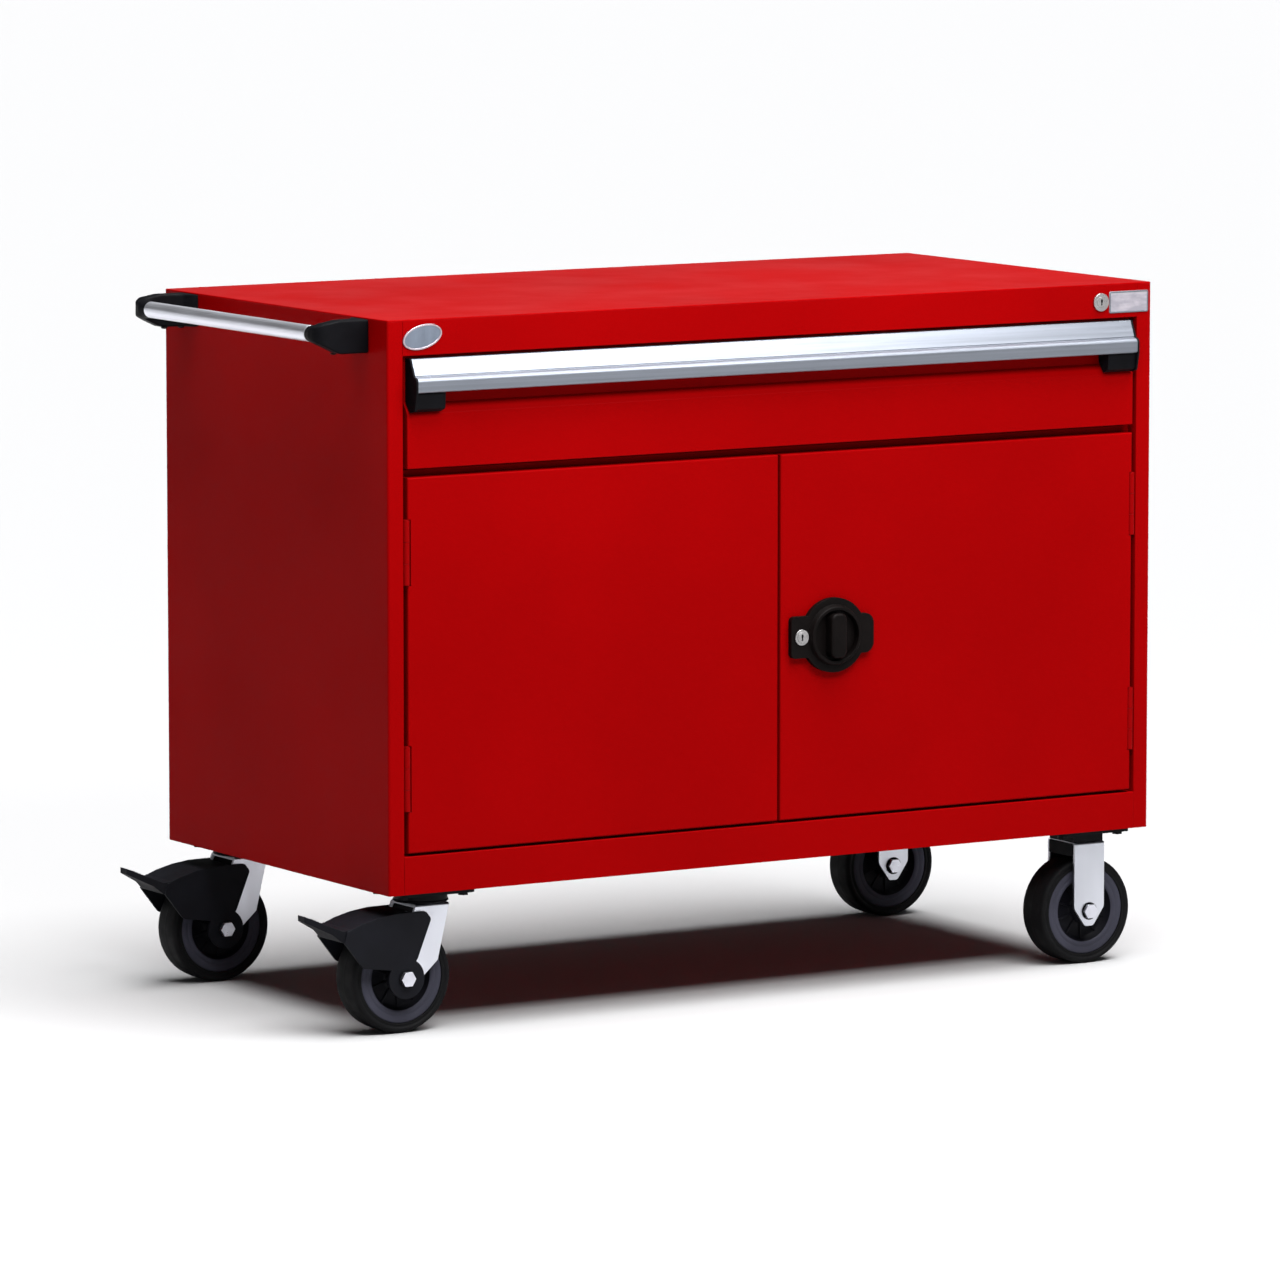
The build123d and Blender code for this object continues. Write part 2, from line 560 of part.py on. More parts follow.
def rigid_fork(y):
    """Fixed fork: crown under the plate and two straight legs with pointed, rounded ends."""
    x, half = CASTER_X, 25.0
    low = CROWN_TOP - CROWN_T
    leg = [(x - half, CROWN_TOP), (x + half, CROWN_TOP), (x + half, AXLE_Z + 5), (x + 7, AXLE_Z - 21),
           (x - 7, AXLE_Z - 21), (x - half, AXLE_Z + 5)]
    rounds = (((x + half, AXLE_Z + 5), 10.0), ((x - half, AXLE_Z + 5), 10.0),
              ((x + 7, AXLE_Z - 21), 7.0), ((x - 7, AXLE_Z - 21), 7.0))
    fork = along_y(leg, y - LEG_OUT, y + LEG_OUT, rounds)
    fork -= block(x - 60, x + 60, y - LEG_IN, y + LEG_IN, AXLE_Z - 30, low)
    top_edges = [e for e in fork.edges().filter_by(Axis.X) if e.center().Z > CROWN_TOP - 0.1]
    fork = fillet(top_edges, 3.5)
    return fork - rod_y(AXLE_R, y - 50, y + 50, x, AXLE_Z)


def axle_bolt(x, y, face):
    """Axle bolt through a fork: head on the front side, nut behind; face is where they sit."""
    bolt = rod_y(AXLE_R, y - face - 1, y + face + 8, x, AXLE_Z)
    bolt += hex_y(19, y - face - 6, y - face, x, AXLE_Z)
    return bolt + hex_y(19, y + face, y + face + 6, x, AXLE_Z)


def caster_bolt(x, y):
    """Plate bolt: head below the plate, nut inside the base channel."""
    half_flats, head_t, nut_z = 6.5, 5.0, 3.0
    bolt = rod_z(4.0, -PLATE_T - 1, 12, x, y)
    head = extrude(RegularPolygon(half_flats, 6, major_radius=False), head_t)
    return bolt + Pos(x, y, -PLATE_T - head_t) * head + Pos(x, y, nut_z) * head


def brake_pedal(y):
    """Moulded hood over the wheel: roof, two cheeks down to the axle and an upturned lip."""
    ax, az = -CASTER_X - TRAIL, AXLE_Z
    roof_top = [(ax - 90, az + 70), (ax - 68, az + 78.5), (ax - 44, az + 84.5), (ax - 18, az + 88),
                (ax + 8, az + 88.5)]
    roof_low = [(px, pz - 3.5) for px, pz in reversed(roof_top)]
    roof = along_y(roof_top + roof_low, y - CHEEK_OUT, y + CHEEK_OUT)
    cheek = roof_top + [(ax + 30, az + 88), (ax + 38, az + 78), (ax + 17, az + 26), (ax, az),
                        (ax - 16, az + 12), (ax - 66, az + 19), (ax - 94, az + 55)]
    rounds = (((ax + 30, az + 88), 5.0), ((ax + 38, az + 78), 6.0), ((ax + 17, az + 26), 14.0),
              ((ax - 66, az + 19), 12.0))
    sides = along_y(cheek, y - CHEEK_OUT, y + CHEEK_OUT, rounds)
    sides += rod_y(27, y - CHEEK_OUT, y + CHEEK_OUT, ax, az)
    sides -= block(ax - 130, ax + 70, y - CHEEK_IN, y + CHEEK_IN, az - 40, az + 110)
    tip, tip_w, base_w = ax - 139, 9.0, CHEEK_OUT
    plan = [(ax - 84, y - base_w), (tip, y - tip_w), (tip, y + tip_w), (ax - 84, y + base_w)]
    lip_side = [(ax - 84, az + 73), (ax - 94, az + 70.5), (ax - 104, az + 75), (tip, az + 91), (tip, az + 83),
                (ax - 106, az + 66), (ax - 94, az + 55), (ax - 84, az + 55)]
    lip = along_z(plan, az + 40, az + 100) & along_y(lip_side, y - 50, y + 50, (((ax - 94, az + 70.5), 8.0),))
    pedal = roof + sides + lip
    return pedal - rod_y(AXLE_R + 0.06, y - 50, y + 50, ax, az)


def tyre(x, y):
    """Solid tyre with rounded shoulders."""
    shoulder = 6.0
    corners = [(61.6, -HALF_TREAD + 1), (WHEEL_R, -HALF_TREAD), (WHEEL_R, HALF_TREAD), (61.6, HALF_TREAD - 1)]
    face = outline(corners, ((corners[1], shoulder), (corners[2], shoulder)))
    ring = revolve(Rot(90, 0, 0) * face, Axis.Z)
    return Pos(x, y, AXLE_Z) * Rot(90, 0, 0) * ring


def wheel_core(x, y):
    """Moulded core: side rings under the tyre, a recessed web and the hub."""
    rim, ring, web, hub_r = 61.6, 44.5, 9.0, 17.0
    flat = HALF_TREAD - 2.0
    half = [(AXLE_R + 0.06, HUB_HALF), (hub_r, HUB_HALF), (hub_r + 2, web), (ring - 2.5, web), (ring, flat),
            (rim, flat)]
    face = outline(half + [(r, -h) for r, h in reversed(half)])
    solid = revolve(Rot(90, 0, 0) * face, Axis.Z)
    return Pos(x, y, AXLE_Z) * Rot(90, 0, 0) * solid


# ---- write every node ----------------------------------------------------------------------

os.makedirs("parts", exist_ok=True)

export("side_panel_right", side_panel())
export("side_panel_left", flip(side_panel()))
export("back_panel", block(-INNER_X, INNER_X, CABINET_D - 3.5, CABINET_D - SHEET, 0, TOP_Z))
export("top_panel", top_panel())
export("front_header", front_header())
export("bottom_rail", bottom_rail())
export("cabinet_floor", cabinet_floor())
export("divider", *divider())
export("base_channels", base_channel(), flip(base_channel()))
export("shelf", shelf())
export("shelf_clips", *shelf_clips())
export("catch_magnet", catch_magnet())
export("badge_plate", badge_plate())
export("label_plate", label_plate())

export("push_handle_tube", push_handle_tube())
front_bracket = push_handle_bracket()
rear_bracket = Pos(0, CABINET_D, 0) * mirror(front_bracket, about=Plane.XZ)
export("push_handle_brackets", front_bracket, rear_bracket)

frame_leaves = [frame_leaf(z) for z in HINGE_Z]
export("hinge_frame_leaves", *frame_leaves, *[flip(leaf) for leaf in frame_leaves])
pins = [hinge_pin(z) for z in HINGE_Z]
export("hinge_pins", *pins, *[flip(pin) for pin in pins])
door_leaves = [door_leaf(z) for z in HINGE_Z]
export("door_right_hinge_leaves", *door_leaves)
export("door_left_hinge_leaves", *[flip(leaf) for leaf in door_leaves])
export("door_right", door(latch_side=True))
export("door_left", flip(door(latch_side=False)))

export("latch_escutcheon", latch_escutcheon())
export("latch_knob", latch_knob())
export("latch_pinion", latch_pinion())
export("latch_gearbox", latch_gearbox())
export("latch_rod_upper", latch_rod(1, LATCH_Z - 20, ROD_UP_Z, LATCH_Z - 19, LATCH_Z + 8, ROD_UP_Z))
export("latch_rod_lower", latch_rod(-1, ROD_DOWN_Z, LATCH_Z + 20, LATCH_Z - 8, LATCH_Z + 19, ROD_DOWN_Z))
export("latch_rod_guides", rod_guide(1, DOOR_Z1 - 36), rod_guide(-1, DOOR_Z0 + 36))
export("latch_key_barrel", lock_barrel(KEY_X, LATCH_Z, -LOBE_OUT - 1.5, 12, -LOBE_OUT, 10.8))
export("latch_key_plug", lock_plug(KEY_X, LATCH_Z, -LOBE_OUT - 2, 12.5, 20, "down"))

export("drawer_front", drawer_front())
export("drawer_tray", *drawer_tray())
export("drawer_handle", drawer_handle())
export("drawer_handle_caps", handle_cap(), flip(handle_cap()))
export("drawer_lock_barrel", lock_barrel(LOCK_X, LOCK_Z, -3, 13, 0, 12.5))
export("drawer_lock_plug", lock_plug(LOCK_X, LOCK_Z, -3.5, 14.0, 30, "left"))
for name, member in (("inner", slide_inner()), ("middle", slide_middle()), ("outer", slide_outer())):
    export(f"slide_{name}s", member, flip(member))

bolts, plates = [], []
for row, row_y in ROWS.items():
    left, right = -CASTER_X, CASTER_X
    plates += [caster_plate(left, row_y, True), caster_plate(right, row_y, False)]
    for cx in (left, right):
        bolts += [caster_bolt(cx + i * BOLT_X, row_y + k * BOLT_Y) for i in (-1, 1) for k in (-1, 1)]
    export(f"swivel_fork_{row}", swivel_fork(row_y))
    export(f"swivel_axle_bolt_{row}", axle_bolt(left - TRAIL, row_y, CHEEK_OUT + 0.3))
    export(f"brake_pedal_{row}", brake_pedal(row_y))
    for side, cx in (("left", left - TRAIL), ("right", right)):
        export(f"tyre_{row}_{side}", tyre(cx, row_y))
        export(f"wheel_core_{row}_{side}", wheel_core(cx, row_y))
export("caster_top_plates", *plates)
export("caster_bolts", *bolts)
export("kingpins", *[kingpin(-CASTER_X, row_y) for row_y in ROWS.values()])
export("rigid_forks", *[rigid_fork(row_y) for row_y in ROWS.values()])
export("rigid_axle_bolts", *[axle_bolt(CASTER_X, row_y, LEG_OUT) for row_y in ROWS.values()])
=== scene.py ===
from math import cos, pi, radians, sin

import bmesh
import bpy
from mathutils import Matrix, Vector


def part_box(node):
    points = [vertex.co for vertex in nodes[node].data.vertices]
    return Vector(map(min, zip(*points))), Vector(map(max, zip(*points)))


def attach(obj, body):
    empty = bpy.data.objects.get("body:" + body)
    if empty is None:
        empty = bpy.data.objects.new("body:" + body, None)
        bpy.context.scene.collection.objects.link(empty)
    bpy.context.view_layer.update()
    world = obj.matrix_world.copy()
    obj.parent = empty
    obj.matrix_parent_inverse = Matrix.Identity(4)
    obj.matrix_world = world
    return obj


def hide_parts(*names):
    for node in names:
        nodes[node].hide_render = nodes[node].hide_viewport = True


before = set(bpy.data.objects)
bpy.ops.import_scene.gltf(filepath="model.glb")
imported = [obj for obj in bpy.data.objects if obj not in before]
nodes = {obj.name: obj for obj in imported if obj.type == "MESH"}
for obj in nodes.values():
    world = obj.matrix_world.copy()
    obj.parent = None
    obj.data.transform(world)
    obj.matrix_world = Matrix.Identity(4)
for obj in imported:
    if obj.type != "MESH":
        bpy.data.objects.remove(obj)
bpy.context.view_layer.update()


# ---- Studio ----------------------------------------------------------------------------------
# A pale floor far wider than the view. The broad key light stands almost overhead, so the upright
# sheets stay deep red; a softbox near the top of the front fades towards the floor.

scene = bpy.context.scene


def shader(name, **sockets):
    """New material with its Principled shader's own sockets set."""
    material = bpy.data.materials.new(name)
    material.use_nodes = True
    principled = material.node_tree.nodes["Principled BSDF"]
    for key, value in sockets.items():
        principled.inputs[key.replace("_", " ")].default_value = value
    return material


def lamp(name, kind, energy, place, target, **values):
    """Light at place, facing target."""
    light = bpy.data.lights.new(name, kind)
    light.energy = energy
    for key, value in values.items():
        setattr(light, key, value)
    holder = bpy.data.objects.new(name, light)
    holder.location = place
    holder.rotation_euler = (Vector(place) - Vector(target)).to_track_quat("Z", "Y").to_euler()
    scene.collection.objects.link(holder)


def direction(turn, rise):
    """Unit vector towards a bearing from the front, to the right, and a height above the horizon."""
    turn, rise = radians(turn), radians(rise)
    return Vector((sin(turn) * cos(rise), -cos(turn) * cos(rise), sin(rise)))


scene.view_settings.view_transform = "Standard"
camera = bpy.data.objects.new("camera", bpy.data.cameras.new("camera"))
camera.data.lens, camera.data.sensor_width = 235.0, 36.0
camera.data.clip_end = 400.0
aim, reach = Vector((0.0174, 0.0110, 0.4624)), 11.543
away = direction(-31.66, 7.056)
camera.location = aim + reach * away
camera.rotation_euler = away.to_track_quat("Z", "Y").to_euler()
scene.collection.objects.link(camera)
scene.camera = camera

half_floor = 150.0
floor_mesh = bpy.data.meshes.new("floor")
corners = ((-1, -1), (1, -1), (1, 1), (-1, 1))
floor_mesh.from_pydata([(x * half_floor, y * half_floor, 0) for x, y in corners], [], [(0, 1, 2, 3)])
floor_mesh.materials.append(shader("pale_floor", Base_Color=(0.35, 0.35, 0.354, 1), Roughness=0.8,
                                   Specular_IOR_Level=0.0))
floor = bpy.data.objects.new("floor", floor_mesh)
scene.collection.objects.link(floor)

world = bpy.data.worlds.new("studio")
world.use_nodes = True
sky = world.node_tree
height = sky.nodes.new("ShaderNodeSeparateXYZ")
fade = sky.nodes.new("ShaderNodeMapRange")
horizon_top, horizon_glow, zenith_glow = 0.17, 0.96, 0.07
for socket, value in (("From Max", horizon_top), ("To Min", horizon_glow), ("To Max", zenith_glow)):
    fade.inputs[socket].default_value = value
sky.links.new(sky.nodes.new("ShaderNodeTexCoord").outputs["Generated"], height.inputs["Vector"])
sky.links.new(height.outputs["Z"], fade.inputs["Value"])
sky.links.new(fade.outputs["Result"], sky.nodes["Background"].inputs["Strength"])
sky.nodes["Background"].inputs["Color"].default_value = (0.97, 0.98, 1.0, 1)
scene.world = world
key_strength, softbox_watts = 8.7, 50
lamp("key", "SUN", key_strength, 5 * direction(14, 80), (0, 0, 0), angle=radians(50))
lamp("front_softbox", "AREA", softbox_watts, (0.1, -1.55, 1.9), (0.05, -0.3, 1.0), shape="RECTANGLE",
     size=2.4, size_y=0.4)


# ---- Housing ---------------------------------------------------------------------------------
# Steel sheets, 2 mm thick in the shell, folded and welded: two sides that wrap round to the front
# stiles, back, top, front header, bottom rail, floor, divider, shelf and base channels. All are
# powder coated red.


def add(material, kind, links=None, **values):
    """Add a node to a material; values set its properties or sockets, links feed its sockets."""
    node = material.node_tree.nodes.new(kind)
    for key, value in values.items():
        if hasattr(node, key):
            setattr(node, key, value)
        else:
            node.inputs[key.replace("_", " ")].default_value = value
    for key, socket in (links or {}).items():
        material.node_tree.links.new(socket, node.inputs[key])
    return node


def grain(material, scale, detail=2.0, stretch=(1, 1, 1)):
    """Noise over the piece's own coordinates, longer where stretch is small."""
    place = add(material, "ShaderNodeTexCoord").outputs["Object"]
    drawn = add(material, "ShaderNodeMapping", {"Vector": place}, Scale=stretch).outputs[0]
    return add(material, "ShaderNodeTexNoise", {"Vector": drawn}, Scale=scale, Detail=detail).outputs[0]


def spread(material, value, low, high, to_low=0.0, to_high=1.0):
    """Rescale a value from low..high to to_low..to_high, clamped."""
    return add(material, "ShaderNodeMapRange", {"Value": value}, From_Min=low, From_Max=high,
               To_Min=to_low, To_Max=to_high).outputs[0]


def mixed(material, factor, low, high):
    """Colour between low and high; each is a socket or a colour."""
    node = add(material, "ShaderNodeMix", {0: factor}, data_type="RGBA")
    for number, value in ((6, low), (7, high)):
        if isinstance(value, bpy.types.NodeSocket):
            material.node_tree.links.new(value, node.inputs[number])
        else:
            node.inputs[number].default_value = value
    return node.outputs[2]


def feed(material, **sockets):
    """Link sockets to the Principled shader."""
    principled = material.node_tree.nodes["Principled BSDF"]
    for key, socket in sockets.items():
        material.node_tree.links.new(socket, principled.inputs[key.replace("_", " ")])


def relief(material, height, strength, depth, rounding):
    """Bump on top of edges that are rounded by a small radius."""
    edges = add(material, "ShaderNodeBevel", samples=4, Radius=rounding)
    bump = add(material, "ShaderNodeBump", {"Height": height, "Normal": edges.outputs[0]},
               Strength=strength, Distance=depth)
    feed(material, Normal=bump.outputs[0])
    return edges.outputs[0]


def coat(name, colour, fold_highlight_colour, peel, **sockets):
    """Baked powder coat: orange peel, a slow drift in tone, and a painted highlight: lighter colour in
    patches along the folds.
    """
    paint = shader(name, **sockets)
    edges = relief(paint, grain(paint, 620, 3.0), peel, 0.00025, 0.0007)
    plain = add(paint, "ShaderNodeNewGeometry").outputs["Normal"]
    bend = add(paint, "ShaderNodeVectorMath", {0: edges, 1: plain}, operation="DOT_PRODUCT")
    fold = spread(paint, bend.outputs["Value"], 0.995, 0.92)
    patchy = spread(paint, grain(paint, 55, 4.0), 0.42, 0.62)
    # Painted highlight: the folds are lightened in patches, as if they caught the light.
    painted_fold_highlight = add(paint, "ShaderNodeMath", {0: fold, 1: patchy}, operation="MULTIPLY").outputs[0]
    deep = tuple(0.9 * c for c in colour[:3]) + (1,)
    tone = mixed(paint, spread(paint, grain(paint, 2.6, 5.0), 0.38, 0.62), deep, colour)
    feed(paint, Base_Color=mixed(paint, painted_fold_highlight, tone, fold_highlight_colour),
         Roughness=spread(paint, grain(paint, 9, 5.0), 0.3, 0.7, 0.33, 0.42))
    return paint


# The second colour is the lighter painted highlight along the folds.
red_coat = coat("red_powder_coat", (0.222, 0.0003, 0.0007, 1), (0.29, 0.005, 0.006, 1), 0.16,
                Specular_IOR_Level=0.01)


def paint_nodes(finish, *names):
    """Give CAD nodes that stay as they are their finish."""
    for name in names:
        for slot in nodes[name].material_slots:
            slot.material = finish


paint_nodes(red_coat, "side_panel_left", "side_panel_right", "back_panel", "top_panel", "front_header",
            "bottom_rail", "cabinet_floor", "divider", "shelf", "base_channels")


# ---- Back ribs and rivets --------------------------------------------------------------------
# Three shallow ribs pressed into the back sheet, and the blind rivets that hold it to the posts
# inside.

def piece(name, shape, *finishes, crease=35):
    """Object from a bmesh: doubles merged, faces outward, smooth below the crease angle."""
    bmesh.ops.remove_doubles(shape, verts=shape.verts, dist=1e-6)
    loose = [edge for edge in shape.edges if not edge.link_faces]
    bmesh.ops.delete(shape, geom=loose, context="EDGES")
    bmesh.ops.recalc_face_normals(shape, faces=shape.faces)
    mesh = bpy.data.meshes.new(name)
    shape.to_mesh(mesh)
    shape.free()
    for finish in finishes:
        mesh.materials.append(finish)
    mesh.shade_smooth()
    mesh.set_sharp_from_angle(angle=radians(crease))
    thing = bpy.data.objects.new(name, mesh)
    scene.collection.objects.link(thing)
    return thing


def soften(thing, width, angle=40):
    """Round a piece's sharp edges."""
    bevel = thing.modifiers.new("soft_edges", "BEVEL")
    bevel.width, bevel.segments = width, 3
    bevel.limit_method, bevel.angle_limit = "ANGLE", radians(angle)
    bevel.harden_normals = True
    return thing


def fit(thing, body, slot, *replaced):
    """Hang a finished piece on its body and hide the CAD nodes it stands for; the slot argument is not
    used.
    """
    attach(thing, body)
    if replaced:
        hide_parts(*replaced)


def turned(outline, steps, axis):
    """bmesh turned about an axis through the origin; outline is a closed loop of (radius, height)."""
    shape = bmesh.new()
    rings = []
    for k in range(steps):
        c, s = cos(2 * pi * k / steps), sin(2 * pi * k / steps)
        spots = {"X": [(h, r * c, r * s) for r, h in outline],
                 "Y": [(r * s, h, r * c) for r, h in outline],
                 "Z": [(r * c, r * s, h) for r, h in outline]}[axis]
        rings.append([shape.verts.new(spot) for spot in spots])
    count = len(outline)
    for k in range(steps):
        near, far = rings[k], rings[(k + 1) % steps]
        for i in range(count):
            j = (i + 1) % count
            shape.faces.new((near[i], near[j], far[j], far[i]))
    return shape


upright = {"X": lambda u, v, depth: (depth, u, v), "Y": lambda u, v, depth: (u, depth, v),
           "Z": lambda u, v, depth: (u, v, depth)}


def slab(outline, low, high, axis, *holes):
    """bmesh of a flat outline of (across, up) points, with holes, thick from low to high on an axis."""
    shape = bmesh.new()
    rims = {low: [], high: []}
    for loop in (outline, *holes):
        under, over = ([shape.verts.new(upright[axis](u, v, depth)) for u, v in loop]
                       for depth in (low, high))
        for i in range(len(loop)):
            shape.faces.new((under[i - 1], under[i], over[i], over[i - 1]))
            rims[low].append(shape.edges.get((under[i - 1], under[i])))
            rims[high].append(shape.edges.get((over[i - 1], over[i])))
    for rim in rims.values():
        bmesh.ops.triangle_fill(shape, edges=rim, use_beauty=True)
    return shape


side_low, side_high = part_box("side_panel_left")[0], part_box("side_panel_right")[1]
foot = Vector(((side_low.x + side_high.x) / 2, side_low.y, side_low.z))


def small(shape):
    """Millimetre bmesh to metres, about the origin: a part for set_out to repeat."""
    bmesh.ops.scale(shape, vec=(0.001, 0.001, 0.001), verts=shape.verts)
    return shape


def at(x, y, z):
    """Frame point from millimetres off the middle of the cabinet's front, at its underside."""
    return foot + 0.001 * Vector((x, y, z))


def rectangle(x0, x1, y0, y1, radius=0.0, steps=5):
    """Rectangular outline with rounded corners."""
    if not radius:
        return [(x0, y0), (x1, y0), (x1, y1), (x0, y1)]
    points = []
    for cx, cy, start in ((x1, y0, -90), (x1, y1, 0), (x0, y1, 90), (x0, y0, 180)):
        middle = (cx - radius if cx == x1 else cx + radius, cy - radius if cy == y1 else cy + radius)
        for k in range(steps + 1):
            a = radians(start + 90 * k / steps)
            points.append((middle[0] + radius * cos(a), middle[1] + radius * sin(a)))
    return points


def row_tree():
    """Geometry Nodes: a small part set out along a line, in rows, or round a circle."""
    tree = bpy.data.node_groups.new("set_out", "GeometryNodeTree")
    face = tree.interface
    face.new_socket("Geometry", in_out="INPUT", socket_type="NodeSocketGeometry")
    for label, kind in (("Count", "Int"), ("Rows", "Int"), ("Start", "Vector"), ("Step", "Vector"),
                        ("Row Step", "Vector"), ("Turn", "Vector"), ("Finish", "Material")):
        face.new_socket(label, in_out="INPUT", socket_type=f"NodeSocket{kind}")
    face.new_socket("Geometry", in_out="OUTPUT", socket_type="NodeSocketGeometry")
    new, link = tree.nodes.new, tree.links.new
    given, done = new("NodeGroupInput"), new("NodeGroupOutput")
    along, aside = new("GeometryNodeMeshLine"), new("GeometryNodeMeshLine")
    spread_rows, points = new("GeometryNodeInstanceOnPoints"), new("GeometryNodeRealizeInstances")
    index, turn = new("GeometryNodeInputIndex"), new("ShaderNodeVectorMath")
    place, real, finish = (new("GeometryNodeInstanceOnPoints"), new("GeometryNodeRealizeInstances"),
                           new("GeometryNodeSetMaterial"))
    turn.operation = "SCALE"
    for source, socket, target, name in (
            (given, "Count", along, "Count"), (given, "Start", along, "Start Location"),
            (given, "Step", along, "Offset"), (given, "Rows", aside, "Count"),
            (given, "Row Step", aside, "Offset"), (aside, "Mesh", spread_rows, "Points"),
            (along, "Mesh", spread_rows, "Instance"), (spread_rows, "Instances", points, "Geometry"),
            (given, "Turn", turn, 0), (index, "Index", turn, "Scale"),
            (points, "Geometry", place, "Points"), (given, "Geometry", place, "Instance"),
            (turn, "Vector", place, "Rotation"),
            (place, "Instances", real, "Geometry"), (real, "Geometry", finish, "Geometry"),
            (given, "Finish", finish, "Material"), (finish, "Geometry", done, "Geometry")):
        link(source.outputs[socket], target.inputs[name])
    return tree


set_out = row_tree()


def repeated(name, unit, finish, count, step=(0, 0, 0), start=(0, 0, 0), turn=(0, 0, 0), rows=1,
             row_step=(0, 0, 0)):
    """Plain mesh piece of one small part repeated by the set_out tree."""
    modifier = unit.modifiers.new("set_out", "NODES")
    modifier.node_group = set_out
    wanted = {"Count": count, "Rows": rows, "Start": start, "Step": step, "Row Step": row_step,
              "Turn": turn, "Finish": finish}
    for item in set_out.interface.items_tree:
        if item.in_out == "INPUT" and item.name in wanted:
            modifier[item.identifier] = wanted[item.name]
    bpy.context.view_layer.update()
    ready = unit.evaluated_get(bpy.context.evaluated_depsgraph_get())
    mesh = bpy.data.meshes.new_from_object(ready)
    mesh.name = name
    bpy.data.objects.remove(unit)
    thing = bpy.data.objects.new(name, mesh)
    scene.collection.objects.link(thing)
    return thing


def dome(radius, height, axis, sign=1, steps=20):
    """Low domed head on the origin, rising along an axis."""
    outline = [(0, 0), (radius, 0), (radius, sign * height * 0.3), (radius * 0.8, sign * height * 0.78),
               (radius * 0.45, sign * height * 0.97), (0, sign * height)]
    return turned(outline, steps, axis)


back_y, proud, rib_half_w, rib_half_h, rib_pitch, mid_z = 607.6, 1.4, 15, 290, 300, 380
rib = slab(rectangle(-rib_half_w, rib_half_w, -rib_half_h, rib_half_h, 12), 0, proud, "Y")
rib = soften(piece("rib", small(rib), red_coat), 0.0012)
fit(repeated("back_ribs", rib, red_coat, 3, (0.001 * rib_pitch, 0, 0), at(-rib_pitch, back_y, mid_z)),
    "housing", "red_powder_coat")

rivet_r, rivet_x, rivet_z, rivet_pitch = 3.2, 578, 40, 85
rivet = piece("rivet", small(dome(rivet_r, proud, "Y")), red_coat)
fit(repeated("back_rivets", rivet, red_coat, 9, (0, 0, 0.001 * rivet_pitch), at(-rivet_x, back_y, rivet_z),
             rows=2, row_step=(0.002 * rivet_x, 0, 0)), "housing", "red_powder_coat")


# ---- Shelf posts, clips and magnet -----------------------------------------------------------
# Slotted steel posts, spot-welded inside the sides, take the zinc-plated clips under the shelf's
# ends at any height. A magnet in a plastic case hangs under the divider.

def metal(name, colour, low, high, scale, stretch=(1, 1, 1), marks=0.0, **sockets):
    """Metal with a drawn or mottled grain in its gloss, tone and surface."""
    made = shader(name, Metallic=1.0, **sockets)
    lines = grain(made, scale, 4.0, stretch)
    broad = spread(made, grain(made, scale / 5, 3.0, stretch), 0.35, 0.65)
    dull = tuple(0.82 * c for c in colour[:3]) + (1,)
    relief(made, lines, marks, 0.0001, 0.0004)
    feed(made, Base_Color=mixed(made, broad, dull, colour),
         Roughness=spread(made, lines, 0.3, 0.7, low, high))
    return made


def moulded(name, colour, low, high, scale, depth, **sockets):
    """Plastic or rubber with a spark-eroded grain and a faint bloom."""
    made = shader(name, **sockets)
    relief(made, grain(made, scale, 3.0), depth, 0.0003, 0.0008)
    bloom = tuple(1.5 * c for c in colour[:3]) + (1,)
    patches = spread(made, grain(made, scale / 25, 5.0), 0.42, 0.7)
    feed(made, Base_Color=mixed(made, patches, colour, bloom),
         Roughness=spread(made, grain(made, scale / 12, 4.0), 0.3, 0.7, low, high))
    return made


zinc = metal("zinc_steel", (0.74, 0.75, 0.82, 1), 0.26, 0.4, 160, marks=0.05)
plastic = moulded("black_plastic", (0.002, 0.002, 0.0028, 1), 0.45, 0.6, 900, 0.25,
                  Specular_IOR_Level=0.06)

slot_hole, post_pitch, post_t, seam = rectangle(-4, 4, -7.5, 7.5, 3.5), 25.4, 1.4, 0.01
post_inside, post_y, post_gap, first_z = 606.1, 110, 430, 82
cell_outline = rectangle(-20, 20, -post_pitch / 2 + seam, post_pitch / 2 - seam)
for name, low in (("right", post_inside), ("left", -post_inside - post_t)):
    cell = piece("cell", small(slab(cell_outline, 0, post_t, "X", slot_hole)), red_coat)
    fit(repeated(f"shelf_posts_{name}", cell, red_coat, 18, (0, 0, 0.001 * post_pitch),
                 at(low, post_y, first_z), rows=2, row_step=(0, 0.001 * post_gap, 0)), "housing",
        "red_powder_coat")
paint_nodes(zinc, "shelf_clips")
paint_nodes(plastic, "catch_magnet")


# ---- Doors -----------------------------------------------------------------------------------
# Folded pans of 1.5 mm steel, powder coated, each with a hat-section stiffener spot-welded behind
# it; the left one has a strike plate for the magnet. Leaves and pins of the hinges are coated too.

# The second colour is the lighter painted highlight along the folds.
hinge_coat = coat("red_hinge_steel", (0.20, 0.0004, 0.0008, 1), (0.29, 0.006, 0.007, 1), 0.1,
                  Specular_IOR_Level=0.02)
paint_nodes(red_coat, "door_left", "door_right")
paint_nodes(hinge_coat, "door_left_hinge_leaves", "door_right_hinge_leaves", "hinge_frame_leaves",
            "hinge_pins")


def put(shape, x=0.0, y=0.0, z=0.0):
    """Millimetre bmesh to its place on the cabinet."""
    bmesh.ops.translate(small(shape), vec=at(x, y, z), verts=shape.verts)
    return shape


